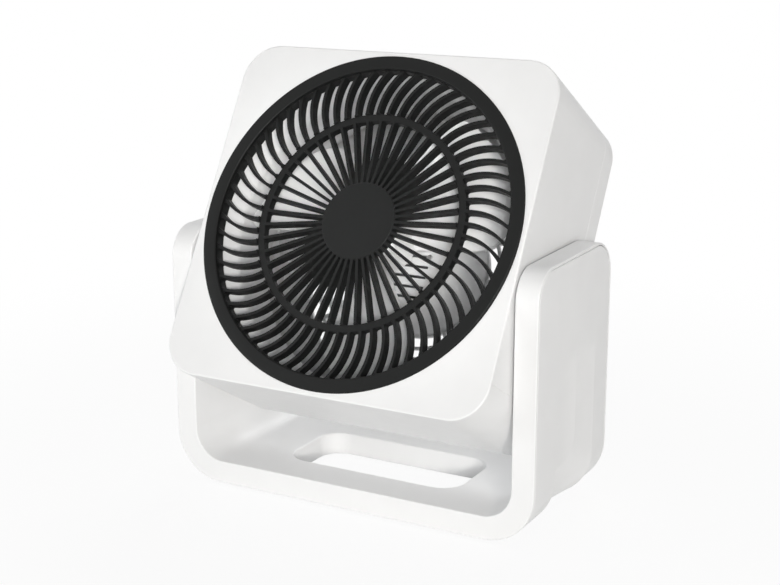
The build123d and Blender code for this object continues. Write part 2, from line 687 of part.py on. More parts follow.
def vane_gap(inside, outside, vane, count, inside_round, outside_round):
    """The gap between two neighbouring vanes, from one ring to the next, with rounded corners."""
    ring_face = Circle(outside) - Circle(inside)
    parts = ring_face - vane - Rot(0, 0, 360 / count) * vane
    gap = Sketch() + parts.faces().sort_by(SortBy.AREA)[0]
    gap = fillet(gap.vertices().sort_by(SortBy.DISTANCE)[:2], inside_round)
    return fillet(gap.vertices().sort_by(SortBy.DISTANCE)[-2:], outside_round)


def make_front_grille():
    """The round grille: a proud rim, swept outer vanes, a mid ring, radial inner vanes and a hub."""
    inner_gap = vane_gap(
        HUB_RADIUS, MID_RING_INNER, inner_vane(), INNER_VANES, GAP_ROUND_HUB, GAP_ROUND_INSIDE_RING
    )
    outer_gap = vane_gap(
        MID_RING_OUTER, RIM_INNER, outer_vane(), OUTER_VANES, GAP_ROUND_OUTSIDE_RING, GAP_ROUND_RIM
    )
    openings = PolarLocations(0, INNER_VANES, start_angle=INNER_VANE_TURN) * inner_gap
    openings += PolarLocations(0, OUTER_VANES, start_angle=OUTER_VANE_TURN) * outer_gap
    openings.append(Circle(HUB_RADIUS - VANE_LAP))
    plate = Face(Circle(RIM_INNER + VANE_LAP).wire(), [opening.wire() for opening in openings])
    vanes = extrude(Pos(0, 0, VANE_BACK) * plate, VANE_DEPTH)
    vanes -= ring(MID_RING_INNER - MID_RING_GROOVE, MID_RING_OUTER + MID_RING_GROOVE, MID_RING_FRONT, SPARE)

    ledge = RIM_INNER + RIM_STEP
    back = VANE_BACK - COLLAR_PAST_VANES
    profile = make_face(Polyline(
        (ledge, back), (GRILLE_COLLAR, back), (GRILLE_COLLAR, -RIM_SEAT), (RIM_RADIUS, -RIM_SEAT),
        (RIM_RADIUS, RIM_PROUD), (ledge, RIM_PROUD), close=True,
    ))
    front_corners = profile.vertices().group_by(Axis.Y)[-1]
    rim = revolve(Plane.XZ * fillet(front_corners, RIM_ROUND), Axis.Z)

    hub = disc(HUB_RADIUS - RIM_STEP, VANE_BACK, HUB_FRONT)
    hub = fillet(hub.edges().sort_by(Axis.Z)[-1], HUB_EDGE)
    hub -= disc(HUB_RADIUS - HUB_WALL, VANE_BACK, HUB_FRONT - HUB_WALL)
    return vanes + [rim, hub]


# Rear inlet

def rear_screw_spots():
    """Where screws hold the rear cover."""
    return PolarLocations(REAR_SCREW_CIRCLE, REAR_SCREWS)


def make_rear_cover():
    """The rear inlet grille: rings and spokes round a closed centre."""
    inside = REAR_OPENING - REAR_RIM
    face = Circle(REAR_FLANGE) - Circle(inside)
    face += Circle(REAR_CENTRE)
    step = (inside - REAR_CENTRE) / (REAR_RINGS + 1)
    for number in range(1, REAR_RINGS + 1):
        radius = REAR_CENTRE + number * step
        face += Circle(radius + REAR_RING_WIDTH / 2) - Circle(radius - REAR_RING_WIDTH / 2)
    spoke = Pos(REAR_CENTRE - REAR_RIM, 0) * Rectangle(
        REAR_OPENING - REAR_CENTRE + REAR_RIM, REAR_SPOKE_WIDTH, align=(Align.MIN, Align.CENTER)
    )
    face += PolarLocations(0, REAR_SPOKES) * spoke
    cover = extrude(Pos(0, 0, REAR_OUTSIDE) * face, REAR_THICK)
    cover -= ring(REAR_OPENING - REAR_SPIGOT_GAP, REAR_FLANGE + SPARE, REAR_PLANE, REAR_INSIDE)
    for spot in rear_screw_spots():
        cover -= spot * disc(SCREW_HOLE, REAR_OUTSIDE, REAR_INSIDE)
    cover -= disc(SPINDLE_RADIUS + SPINDLE_HOLE_ROOM, REAR_OUTSIDE, REAR_INSIDE)
    return cover - Pos(0, -GLAND_DROP, 0) * disc(GLAND_RADIUS, REAR_OUTSIDE, REAR_INSIDE)


def make_rear_cover_screws():
    """The screws that hold the rear cover."""
    pan = Pos(0, 0, REAR_OUTSIDE) * Rot(180, 0, 0) * screw(REAR_SCREW_LENGTH, REAR_SCREW_HEAD)
    return Compound(children=[spot * pan for spot in rear_screw_spots()])


def make_cord_gland():
    """The inlet of the mains lead: a sleeve with a collar on both faces of the rear cover."""
    body = disc(GLAND_RADIUS, REAR_OUTSIDE, REAR_INSIDE)
    body += disc(GLAND_RADIUS + GLAND_COLLAR, REAR_OUTSIDE - GLAND_COLLAR, REAR_OUTSIDE)
    body += disc(GLAND_RADIUS + GLAND_COLLAR, REAR_INSIDE, REAR_INSIDE + GLAND_COLLAR)
    body -= disc(CORD_HOLE, REAR_OUTSIDE - SPARE, REAR_INSIDE + SPARE)
    return Pos(0, -GLAND_DROP, 0) * body


# Motor

def motor_screw_spots():
    """Where screws hold the motor cover."""
    return PolarLocations(MOTOR_SCREW_CIRCLE, MOTOR_SCREWS, start_angle=MOTOR_SCREW_TURN)


def bolt_spots():
    """Where the long bolts clamp the motor."""
    return PolarLocations(BOLT_CIRCLE, BOLTS, start_angle=BOLT_TURN)


def vent(height):
    """The opening of one vent slot at a height above the fan axis."""
    edge = abs(height) + VENT_HEIGHT / 2
    half = min(VENT_HALF, (VENT_REACH**2 - edge**2) ** 0.5)
    slot = Pos(0, height, MOTOR_COVER_FRONT) * Box(2 * half, VENT_HEIGHT, 2 * SPARE)
    slot -= disc(BELL_BOSS_RADIUS + VENT_BOSS_ROOM, MOTOR_COVER_FRONT - SPARE, MOTOR_COVER_FRONT + SPARE)
    return slot


def make_motor_cover():
    """A round cup over the motor with rows of horizontal vents in its front."""
    outer = disc(MOTOR_COVER_RADIUS, REAR_INSIDE, MOTOR_COVER_FRONT)
    outer = fillet(outer.edges().sort_by(Axis.Z)[-1], MOTOR_COVER_ROUND)
    front_inside = MOTOR_COVER_FRONT - MOTOR_COVER_WALL
    cover = outer - disc(MOTOR_COVER_RADIUS - MOTOR_COVER_WALL, REAR_INSIDE, front_inside)
    for row in range(VENT_ROWS):
        cover -= vent((row - (VENT_ROWS - 1) / 2) * VENT_PITCH)
    for spot in motor_screw_spots():
        cover += spot * disc(MOTOR_POST_RADIUS, FRONT_BELL, MOTOR_COVER_FRONT)
        cover -= spot * disc(SCREW_HOLE, FRONT_BELL, MOTOR_COVER_FRONT)
    return cover - disc(BELL_BOSS_RADIUS + BOSS_HOLE_ROOM, front_inside, MOTOR_COVER_FRONT)


def make_motor_cover_screws():
    """The screws that hold the motor cover to the motor."""
    pan = Pos(0, 0, MOTOR_COVER_FRONT) * screw(MOTOR_SCREW_LENGTH, MOTOR_SCREW_HEAD)
    return Compound(children=[spot * pan for spot in motor_screw_spots()])


def bolt_holes(part):
    """A part of the motor with the holes for its long bolts."""
    for spot in bolt_spots():
        part -= spot * disc(BOLT_HOLE, REAR_BELL, FRONT_BELL)
    return part


def make_front_end_bell():
    """The cup in front of the stator, with the boss of the front bearing."""
    boss_end = FRONT_BELL + FRONT_BOSS_LENGTH
    inside = MOTOR_RADIUS - BELL_RIM
    bell = turned(
        (BEARING_RADIUS, boss_end), (BELL_BOSS_RADIUS, boss_end), (BELL_BOSS_RADIUS, FRONT_BELL),
        (MOTOR_RADIUS, FRONT_BELL), (MOTOR_RADIUS, CORE_FRONT), (inside, CORE_FRONT),
        (inside, FRONT_BELL - BELL_WALL), (BEARING_RADIUS, FRONT_BELL - BELL_WALL),
    )
    for spot in motor_screw_spots():
        bell -= spot * disc(SCREW_HOLE, FRONT_BELL - BELL_WALL, FRONT_BELL)
    return bolt_holes(bell)


def make_rear_end_bell():
    """The cup behind the stator, with the boss of the rear bearing and posts on the rear cover."""
    plate = REAR_BELL + BELL_WALL
    boss_end = plate + REAR_BOSS_LENGTH
    inside = MOTOR_RADIUS - BELL_RIM
    bell = turned(
        (BEARING_RADIUS, boss_end), (BELL_BOSS_RADIUS, boss_end), (BELL_BOSS_RADIUS, plate),
        (inside, plate), (inside, CORE_REAR), (MOTOR_RADIUS, CORE_REAR), (MOTOR_RADIUS, REAR_BELL),
        (BEARING_RADIUS, REAR_BELL),
    )
    for spot in PolarLocations(BELL_POST_CIRCLE, BELL_POSTS, start_angle=90):
        bell += spot * disc(POST_RADIUS, REAR_INSIDE, REAR_BELL)
    return bolt_holes(bell)


def make_stator_core():
    """The laminated ring of the stator."""
    return bolt_holes(ring(CORE_BORE, MOTOR_RADIUS, CORE_REAR, CORE_FRONT))


def make_stator_windings():
    """The ends of the winding, one ring on each face of the stator."""
    inside = CORE_BORE + WINDING_GAP
    outside = MOTOR_RADIUS - BELL_RIM - WINDING_GAP / 2
    front = ring(inside, outside, CORE_FRONT, CORE_FRONT + WINDING_LENGTH)
    front = fillet(front.edges().group_by(Axis.Z)[-1], WINDING_ROUND)
    rear = ring(inside, outside, CORE_REAR - WINDING_LENGTH, CORE_REAR)
    rear = fillet(rear.edges().group_by(Axis.Z)[0], WINDING_ROUND)
    return Compound(children=[front, rear])


def make_motor_bolts():
    """The long bolts that clamp the two bells and the stator."""
    bolt = Pos(0, 0, FRONT_BELL) * screw(FRONT_BELL - REAR_BELL, BOLT_HEAD, BOLT_RADIUS)
    return Compound(children=[spot * bolt for spot in bolt_spots()])


def bearing(low, high):
    """A sleeve bearing round the shaft."""
    return ring(SHAFT_RADIUS + RUNNING_GAP, BEARING_RADIUS, low, high)


def make_front_bearing():
    """The sleeve in the front bell."""
    return bearing(FRONT_BELL - BELL_WALL, FRONT_BELL + FRONT_BOSS_LENGTH)


def make_rear_bearing():
    """The sleeve in the rear bell."""
    return bearing(REAR_BELL, REAR_BELL + BELL_WALL + REAR_BOSS_LENGTH)


def make_rotor_core():
    """The laminated core on the shaft."""
    return ring(SHAFT_RADIUS, CORE_BORE - AIR_GAP, CORE_REAR, CORE_FRONT)


def make_motor_shaft():
    """The shaft that carries the rotor and the fan."""
    return disc(SHAFT_RADIUS, REAR_BELL, SHAFT_FRONT)


# Fan

def blade_half_width(radius):
    """Half the width of a blade, seen along the fan axis."""
    return BLADE_ROOT_HALF + BLADE_SPREAD * radius


def blade_section(radius):
    """The cambered section of a blade, square to its radius."""
    half = blade_half_width(radius)
    rise = BLADE_HALF_DEPTH / half
    reach = half + BLADE_TRIM
    sag = BLADE_CAMBER * half
    arc = ThreePointArc((-reach, -reach * rise), (sag * rise, -sag), (reach, reach * rise))
    plane = Plane(origin=(radius, 0, BLADE_MIDDLE), x_dir=(0, 1, 0), z_dir=(1, 0, 0))
    return plane * SlotArc(arc, BLADE_THICK)


def blade_outline():
    """The plan outline of one blade: widest at its tip, with one tip corner rounder than the other."""
    far = BLADE_RADIUS + 2 * SPARE
    wide = blade_half_width(far)
    root = blade_half_width(0)
    wedge = Polygon((0, -root), (far, -wide), (far, wide), (0, root), align=None)
    face = wedge & Circle(BLADE_RADIUS)
    face = fillet(face.vertices().sort_by(Axis.Y)[0], BLADE_LEADING_ROUND)
    return fillet(face.vertices().sort_by(Axis.Y)[-1], BLADE_TRAILING_ROUND)


def make_fan_blade():
    """The moulded fan: blades round a hollow hub."""
    blade = loft([blade_section(radius) for radius in BLADE_STATIONS])
    blade &= extrude(Pos(0, 0, BLADE_MIDDLE) * blade_outline(), BLADE_RADIUS, both=True)
    hub = disc(FAN_HUB_RADIUS, FAN_HUB_REAR, FAN_HUB_FRONT)
    hub = fillet(hub.edges().sort_by(Axis.Z)[-1], FAN_HUB_ROUND)
    turns = [BLADE_PHASE + number * 360 / BLADE_COUNT for number in range(BLADE_COUNT)]
    fan = hub + [Rot(0, 0, turn) * blade for turn in turns]
    fan -= disc(FAN_HUB_RADIUS - FAN_HUB_WALL, FAN_HUB_REAR - 2 * SPARE, FAN_HUB_FRONT - FAN_HUB_CAP)
    fan += disc(FAN_BOSS_RADIUS, FAN_HUB_REAR, FAN_HUB_FRONT)
    return fan - disc(SHAFT_RADIUS, FAN_HUB_REAR, FAN_HUB_FRONT)


def make_blade_nut():
    """The cap nut that holds the fan on the shaft."""
    nut = disc(FAN_BOSS_RADIUS, FAN_HUB_FRONT, FAN_HUB_FRONT + NUT_LENGTH)
    nut = fillet(nut.edges().sort_by(Axis.Z)[-1], NUT_ROUND)
    return nut - disc(SHAFT_RADIUS, FAN_HUB_FRONT, SHAFT_FRONT)


# Speed control

def make_speed_switch():
    """The body of the switch inside the rear cover."""
    body = Pos(0, 0, REAR_INSIDE) * Box(SWITCH_SIZE, SWITCH_SIZE, SWITCH_DEPTH, align=BOTTOM)
    body = fillet(body.edges().filter_by(Axis.Z), SWITCH_ROUND)
    return body - disc(SPINDLE_RADIUS + RUNNING_GAP, REAR_INSIDE, REAR_INSIDE + SPINDLE_DEPTH + END_ROOM)


def make_switch_spindle():
    """The spindle between the switch and the knob."""
    return disc(SPINDLE_RADIUS, KNOB_END + KNOB_FACE, REAR_INSIDE + SPINDLE_DEPTH)


def make_speed_knob():
    """A round knob with a gripped skirt and a raised pointer."""
    knob = disc(KNOB_RADIUS, KNOB_END, KNOB_FRONT)
    knob = fillet(knob.edges().sort_by(Axis.Z)[0], KNOB_ROUND)
    for spot in PolarLocations(GRIP_CIRCLE, KNOB_GRIPS):
        knob -= spot * disc(GRIP_RADIUS, KNOB_END, KNOB_FRONT - GRIP_END)
    pointer = Pos(0, KNOB_RADIUS / 2, KNOB_END) * Box(POINTER_WIDTH, POINTER_LENGTH, POINTER_PROUD)
    return knob + pointer - disc(SPINDLE_RADIUS, KNOB_END + KNOB_FACE, KNOB_FRONT)


ON_STAND = [
    make_stand_frame, make_left_arm_cover, make_right_arm_cover, make_base_plate, make_rubber_feet,
    make_base_screws, make_arm_cover_screws, make_left_pivot_bush, make_right_pivot_bush,
]
ON_PIVOT = [
    make_left_pivot_pin, make_right_pivot_pin, make_pivot_washers, make_spring_washers,
    make_pivot_screws,
]
ON_HEAD = [
    make_front_frame, make_upper_shell, make_lower_shell, make_rear_shell, make_rear_shell_screws,
    make_front_grille, make_air_duct, make_rear_cover, make_rear_cover_screws, make_cord_gland,
    make_motor_cover, make_motor_cover_screws, make_front_end_bell, make_rear_end_bell,
    make_stator_core, make_stator_windings, make_motor_bolts, make_front_bearing, make_rear_bearing,
    make_rotor_core, make_motor_shaft, make_fan_blade, make_blade_nut, make_speed_switch,
    make_switch_spindle, make_speed_knob,
]


def placed(place, shape):
    """The solids of a node, moved to their place in the object."""
    solids = [place * solid for solid in shape.solids()]
    return solids[0] if len(solids) == 1 else Compound(children=solids)


os.makedirs("parts", exist_ok=True)
for place, makers in ((STAND_PLACE, ON_STAND), (TILT_PLACE, ON_PIVOT), (HEAD_PLACE, ON_HEAD)):
    for maker in makers:
        node = maker.__name__.removeprefix("make_")
        export_step(placed(place, maker()), f"parts/{node}.step")
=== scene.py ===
"""A white table box fan with a black spiral grille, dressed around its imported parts."""

import json
import logging
import math
from abc import ABC, abstractmethod
from collections.abc import Callable, Iterable
from dataclasses import dataclass
from enum import Enum

import bmesh
import bpy
from mathutils import Matrix, Vector

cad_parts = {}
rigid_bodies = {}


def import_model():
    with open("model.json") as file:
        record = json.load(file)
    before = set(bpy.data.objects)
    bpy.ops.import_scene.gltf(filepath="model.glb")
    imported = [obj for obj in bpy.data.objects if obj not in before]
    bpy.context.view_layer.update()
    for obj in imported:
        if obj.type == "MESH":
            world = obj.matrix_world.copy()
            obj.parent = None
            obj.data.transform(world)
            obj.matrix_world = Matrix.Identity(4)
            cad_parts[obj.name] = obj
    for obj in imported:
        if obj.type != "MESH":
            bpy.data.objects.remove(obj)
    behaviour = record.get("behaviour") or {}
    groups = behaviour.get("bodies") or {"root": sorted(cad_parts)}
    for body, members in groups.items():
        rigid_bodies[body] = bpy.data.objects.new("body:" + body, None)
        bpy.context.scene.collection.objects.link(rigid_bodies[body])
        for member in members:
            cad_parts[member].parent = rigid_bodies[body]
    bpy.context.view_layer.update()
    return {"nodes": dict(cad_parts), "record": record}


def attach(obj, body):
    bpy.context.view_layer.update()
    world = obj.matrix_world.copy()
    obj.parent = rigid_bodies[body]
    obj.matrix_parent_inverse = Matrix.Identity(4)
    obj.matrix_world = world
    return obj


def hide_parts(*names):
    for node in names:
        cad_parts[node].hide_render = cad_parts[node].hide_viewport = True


LOG = logging.getLogger("box_fan")
MM = 0.001

Colour = tuple[float, float, float]
Point = tuple[float, float, float]
Spot = tuple[float, float]
Shaper = Callable[[bmesh.types.BMesh], None]

# Where the main parts lie, in millimetres, and how far the face is turned from level, in degrees.
STAND_SHIFT = -9.1
FOOT_HEIGHT = 2.0
PIVOT_HEIGHT = 186.0
FACE_TURN = 60.0
FAN_ABOVE_PIVOT = 25.1
FACE_BEFORE_PIVOT = 76.5
REAR_FACE = -148.5

# Spaces in millimetres: the stand about its own middle, the pivot, and the head on the fan axis
# with u to the right, v up the face and n out of the front.
STAND_SPACE = Matrix.Translation((0.0, STAND_SHIFT * MM, FOOT_HEIGHT * MM)) @ Matrix.Scale(MM, 4)
PIVOT_SPACE = (
    STAND_SPACE
    @ Matrix.Translation((0.0, 0.0, PIVOT_HEIGHT))
    @ Matrix.Rotation(math.radians(FACE_TURN), 4, "X")
)
HEAD_SPACE = PIVOT_SPACE @ Matrix.Translation((0.0, FAN_ABOVE_PIVOT, FACE_BEFORE_PIVOT))
UPSIDE_DOWN = Matrix.Rotation(math.pi, 4, "X")

# Tolerances of the meshes: distances in millimetres and angles in radians.
MERGE = 0.002
FINE_MERGE = 0.001
WELD = 0.0005
FLAT_ANGLE = math.radians(0.1)
SHARP_ANGLE = math.radians(35)
ROUNDED_ANGLE = math.radians(50)

# The range that most values of a noise pattern lie in, and the size of a patch of gloss in grains.
NOISE_LOW, NOISE_HIGH = 0.3, 0.7
GLOSS_PATCH = 12

# The middle of the head, in metres, and the tints of the lights.
HEAD_MIDDLE: Point = (0.0, -0.063, 0.248)
PLAIN_LIGHT: Colour = (1.0, 1.0, 1.0)
COOL_LIGHT: Colour = (0.965, 0.985, 1.0)
PALE_LIGHT: Colour = (0.98, 0.99, 1.0)
WARM_LIGHT: Colour = (1.0, 0.968, 0.92)


class Body(Enum):
    """The moving groups of the fan."""

    STAND = "stand"
    HEAD = "head"
    IMPELLER = "impeller"
    SPEED = "speed_control"


class Slot(Enum):
    """The material slots of the record."""

    WHITE = "white_plastic"
    BLACK = "black_plastic"
    BLADE = "blade_plastic"
    RUBBER = "foot_rubber"
    STEEL = "screw_steel"
    NYLON = "nylon"
    ALLOY = "cast_alloy"
    CORE = "core_steel"
    COPPER = "winding_copper"
    BRONZE = "bearing_bronze"


class Relief(Enum):
    """The kind of fine relief that a finish has."""

    GRAIN = "grain"
    LAYERS = "layers"
    STRANDS = "strands"


class ShaderTree:
    """The node tree of a material or a world, with short calls that add nodes and join them."""

    def __init__(self, owner: bpy.types.Material | bpy.types.World, output: str) -> None:
        """Empty a tree down to its output node.

        Args:
            owner: The material or world.
            output: The output node's type without its ShaderNode prefix.
        """
        owner.use_nodes = True
        self.owner = owner
        self.tree = owner.node_tree
        self.tree.nodes.clear()
        self.output = self.add(output)

    def add(self, kind: str, **values: object) -> bpy.types.Node:
        """Add a node and set its inputs by socket name.

        Args:
            kind: The node's type without its ShaderNode prefix.
            values: Input values, with underscores for the blanks in a socket's name.

        Returns:
            The new node.
        """
        node = self.tree.nodes.new("ShaderNode" + kind)
        for socket, value in values.items():
            node.inputs[socket.replace("_", " ")].default_value = value
        return node

    def join(self, source: bpy.types.NodeSocket, target: bpy.types.NodeSocket) -> None:
        """Link one socket to another."""
        self.tree.links.new(source, target)

    def show(self, surface: bpy.types.NodeSocket) -> None:
        """Join a shader to the output."""
        self.join(surface, self.output.inputs["Surface"])

    def calculate(self, operation: str, *values: bpy.types.NodeSocket | float) -> bpy.types.NodeSocket:
        """Calculate with sockets and numbers.

        Args:
            operation: The name of the operation.
            values: The sockets and numbers that it takes.

        Returns:
            The socket with the result.
        """
        node = self.add("Math")
        node.operation = operation
        for value, target in zip(values, node.inputs):
            if isinstance(value, float):
                target.default_value = value
            else:
                self.join(value, target)
        return node.outputs[0]

    def length(self, vector: bpy.types.NodeSocket) -> bpy.types.NodeSocket:
        """Measure a vector.

        Args:
            vector: The socket with the vector.

        Returns:
            The socket with its length.
        """
        measure = self.add("VectorMath")
        measure.operation = "LENGTH"
        self.join(vector, measure.inputs[0])
        return measure.outputs["Value"]

    def object_coordinates(self) -> bpy.types.NodeSocket:
        """The socket with the piece's own coordinates, in metres."""
        return self.add("TexCoord").outputs["Object"]

    def noise(self, size: float, detail: float = 2.0) -> bpy.types.NodeSocket:
        """Add a noise pattern on the piece's own coordinates.

        Args:
            size: The size of its features in metres.
            detail: How many finer layers it has.

        Returns:
            The socket with its value, from 0 to 1.
        """
        pattern = self.add("TexNoise", Scale=1.0 / size, Detail=detail)
        self.join(self.object_coordinates(), pattern.inputs["Vector"])
        return pattern.outputs["Fac"]

    def spread(self, value: bpy.types.NodeSocket, low: float, high: float) -> bpy.types.NodeSocket:
        """Map the middle of a noise value to a range.

        Args:
            value: The noise value.
            low: The result where the noise is low.
            high: The result where the noise is high.

        Returns:
            The socket with the mapped value.
        """
        mapped = self.add("MapRange", From_Min=NOISE_LOW, From_Max=NOISE_HIGH, To_Min=low, To_Max=high)
        self.join(value, mapped.inputs["Value"])
        return mapped.outputs["Result"]

    def tint(self, value: bpy.types.NodeSocket, low: Colour, high: Colour) -> bpy.types.NodeSocket:
        """Blend two colours by a noise value.

        Args:
            value: The noise value.
            low: The colour where the noise is low.
            high: The colour where the noise is high.

        Returns:
            The socket with the colour.
        """
        ramp = self.add("ValToRGB")
        stops = zip(ramp.color_ramp.elements, (NOISE_LOW, NOISE_HIGH), (low, high))
        for stop, position, colour in stops:
            stop.position = position
            stop.color = (*colour, 1.0)
        self.join(value, ramp.inputs["Fac"])
        return ramp.outputs["Color"]

    def bump(self, height: bpy.types.NodeSocket, depth: float) -> bpy.types.NodeSocket:
        """Turn a height into a bumped normal.

        Args:
            height: The height.
            depth: The depth of the relief in metres.

        Returns:
            The socket with the normal.
        """
        relief = self.add("Bump", Strength=1.0, Distance=depth)
        self.join(height, relief.inputs["Height"])
        return relief.outputs["Normal"]

    def axis_and_radius(self, space: Matrix) -> tuple[bpy.types.NodeSocket, bpy.types.NodeSocket]:
        """Measure along an axis and out from it.

        Args:
            space: The space whose z axis is meant, in the row frame.

        Returns:
            The sockets with the distance along the axis and the distance from it, in metres.
        """
        place, turn, _ = space.decompose()
        centred = self.add("VectorMath")
        centred.operation = "SUBTRACT"
        self.join(self.object_coordinates(), centred.inputs[0])
        centred.inputs[1].default_value = place
        upright = self.add("VectorRotate", Angle=-turn.to_euler().x)
        upright.rotation_type = "X_AXIS"
        self.join(centred.outputs["Vector"], upright.inputs["Vector"])
        parts = self.add("SeparateXYZ")
        self.join(upright.outputs["Vector"], parts.inputs["Vector"])
        flat = self.add("CombineXYZ")
        for axis in "XY":
            self.join(parts.outputs[axis], flat.inputs[axis])
        return parts.outputs["Z"], self.length(flat.outputs["Vector"])

    def ridges(self, distance: bpy.types.NodeSocket, spacing: float) -> bpy.types.NodeSocket:
        """Turn a distance into evenly spaced ridges.

        Args:
            distance: The distance in metres.
            spacing: The distance from one ridge to the next.

        Returns:
            The socket with the height, from -1 to 1.
        """
        return self.calculate("SINE", self.calculate("MULTIPLY", distance, 2 * math.pi / spacing))

    def seen_rays(self) -> bpy.types.NodeSocket:
        """Tell the rays that show the surroundings to the eye from those that light the fan.

        Returns:
            The socket that is 1 for camera, glossy and transmission rays and 0 for the rest.
        """
        path = self.add("LightPath")
        total = path.outputs["Is Camera Ray"]
        for name in ("Is Glossy Ray", "Is Transmission Ray"):
            total = self.calculate("MAXIMUM", total, path.outputs[name])
        return total


def shade(colour: Colour, factor: float) -> Colour:
    """A colour made lighter or darker by a factor."""
    return tuple(min(1.0, part * factor) for part in colour)


@dataclass(frozen=True)
class Finish:
    """A surface finish: a base colour with mottling, varied gloss and fine relief; sizes in metres."""

    slot: Slot
    colour: Colour
    roughness: float
    gloss_spread: float
    grain: float
    depth: float
    mottle: float = 0.02
    mottle_size: float = 30 * MM
    metallic: float = 0.0
    specular: float = 0.5
    relief: Relief = Relief.GRAIN

    def material(self) -> bpy.types.Material:
        """Build the finish as a material.

        Returns:
            The material, named after its slot.
        """
        shader = ShaderTree(bpy.data.materials.new(self.slot.value), "OutputMaterial")
        surface = shader.add("BsdfPrincipled", Metallic=self.metallic, Specular_IOR_Level=self.specular)
        cloud = shader.noise(self.mottle_size)
        colour = shader.tint(cloud, shade(self.colour, 1 - self.mottle), self.colour)
        shader.join(colour, surface.inputs["Base Color"])
        low, high = self.roughness - self.gloss_spread, self.roughness + self.gloss_spread
        gloss = shader.spread(shader.noise(self.grain * GLOSS_PATCH), low, high)
        shader.join(gloss, surface.inputs["Roughness"])
        normal = shader.bump(self.height(shader), self.depth)
        shader.join(normal, surface.inputs["Normal"])
        shader.show(surface.outputs["BSDF"])
        return shader.owner

    def height(self, shader: ShaderTree) -> bpy.types.NodeSocket:
        """Add the pattern of the relief.

        Args:
            shader: The tree that takes the pattern.

        Returns:
            The socket with the height.
        """
        if self.relief is Relief.GRAIN:
            return shader.noise(self.grain)
        along, across = shader.axis_and_radius(HEAD_SPACE)
        return shader.ridges(along if self.relief is Relief.LAYERS else across, self.grain)


FINISHES = (
    Finish(Slot.WHITE, (0.885, 0.885, 0.885), 0.42, 0.05, 0.45 * MM, 0.006 * MM),
    Finish(Slot.BLACK, (0.007, 0.0074, 0.0072), 0.48, 0.07, 0.4 * MM, 0.02 * MM, mottle=0.12, specular=0.18),
    Finish(Slot.BLADE, (0.92, 0.92, 0.915), 0.36, 0.05, 0.6 * MM, 0.005 * MM),
    Finish(Slot.RUBBER, (0.03, 0.03, 0.031), 0.8, 0.08, 0.5 * MM, 0.03 * MM, mottle=0.2),
    Finish(Slot.STEEL, (0.6, 0.6, 0.6), 0.32, 0.08, 0.3 * MM, 0.01 * MM, metallic=1.0),
    Finish(Slot.NYLON, (0.78, 0.77, 0.73), 0.45, 0.05, 0.5 * MM, 0.01 * MM, mottle=0.05),
    Finish(Slot.ALLOY, (0.2, 0.2, 0.205), 0.48, 0.1, 0.7 * MM, 0.05 * MM, metallic=1.0),
    Finish(
        Slot.CORE, (0.32, 0.32, 0.33), 0.45, 0.1, 0.5 * MM, 0.08 * MM, metallic=1.0, relief=Relief.LAYERS
    ),
    Finish(
        Slot.COPPER, (0.55, 0.24, 0.1), 0.35, 0.08, 0.7 * MM, 0.2 * MM, metallic=1.0, relief=Relief.STRANDS
    ),
    Finish(Slot.BRONZE, (0.5, 0.33, 0.16), 0.4, 0.08, 0.4 * MM, 0.02 * MM, metallic=1.0),
)


def smoothstep(share: float) -> float:
    """A share from 0 to 1, eased at both ends."""
    return share ** 2 * (3 - 2 * share)


def turned(profile: Iterable[Spot], steps: int) -> bmesh.types.BMesh:
    """Spin a profile round the z axis into a closed shell.

    Args:
        profile: (radius, height) points from the axis and back to it, in millimetres.
        steps: How many faces go round.

    Returns:
        The shell.
    """
    shell = bmesh.new()
    row = [shell.verts.new((radius, 0.0, height)) for radius, height in profile]
    line = [shell.edges.new(pair) for pair in zip(row, row[1:])]
    bmesh.ops.spin(
        shell, geom=row + line, axis=(0.0, 0.0, 1.0), angle=2 * math.pi, steps=steps, use_merge=True
    )
    bmesh.ops.remove_doubles(shell, verts=shell.verts, dist=FINE_MERGE)
    bmesh.ops.recalc_face_normals(shell, faces=shell.faces)
    return shell


def widened(
    shell: bmesh.types.BMesh, loop: list[bmesh.types.BMEdge], radius: float, height: float
) -> list[bmesh.types.BMEdge]:
    """Draw a round edge loop out to a new ring.

    Args:
        shell: The mesh that holds the loop.
        loop: The edges of the loop, round the z axis.
        radius: The radius of the new ring.
        height: The height of the new ring.

    Returns:
        The edges of the new ring.
    """
    drawn = bmesh.ops.extrude_edge_only(shell, edges=loop)["geom"]
    ring = [part for part in drawn if isinstance(part, bmesh.types.BMVert)]
    for vert in ring:
        vert.co = (*(vert.co.xy.normalized() * radius), height)
    fresh = set(ring)
    edges = [part for part in drawn if isinstance(part, bmesh.types.BMEdge)]
    return [edge for edge in edges if set(edge.verts) <= fresh]


def join(whole: bmesh.types.BMesh, part: bmesh.types.BMesh) -> None:
    """Add a part to a mesh, which uses the part up.

    Args:
        whole: The mesh that grows.
        part: The part that it takes.
    """
    carrier = bpy.data.meshes.new("carrier")
    part.to_mesh(carrier)
    part.free()
    whole.from_mesh(carrier)
    bpy.data.meshes.remove(carrier)


def block(size: Point, rounding: float) -> bmesh.types.BMesh:
    """Model a block with rounded edges about the origin.

    Args:
        size: Its sizes along x, y and z.
        rounding: The width of the rounding.

    Returns:
        The block.
    """
    shell = bmesh.new()
    bmesh.ops.create_cube(shell, size=1.0)
    bmesh.ops.scale(shell, verts=shell.verts, vec=size)
    bmesh.ops.bevel(
        shell, geom=shell.edges[:], offset=rounding, affect="EDGES", segments=2, profile=0.5, material=-1
    )
    return shell


def circle_spots(radius: float, count: int, level: float, start: float = 0.0) -> list[Matrix]:
    """Places on a circle round the z axis.

    Args:
        radius: The radius of the circle.
        count: How many places there are.
        level: Their height.
        start: The angle of the first one in degrees.

    Returns:
        One matrix for each place.
    """
    steps = [Matrix.Rotation(math.radians(start + 360 * step / count), 4, "Z") for step in range(count)]
    return [step @ Matrix.Translation((radius, 0.0, level)) for step in steps]


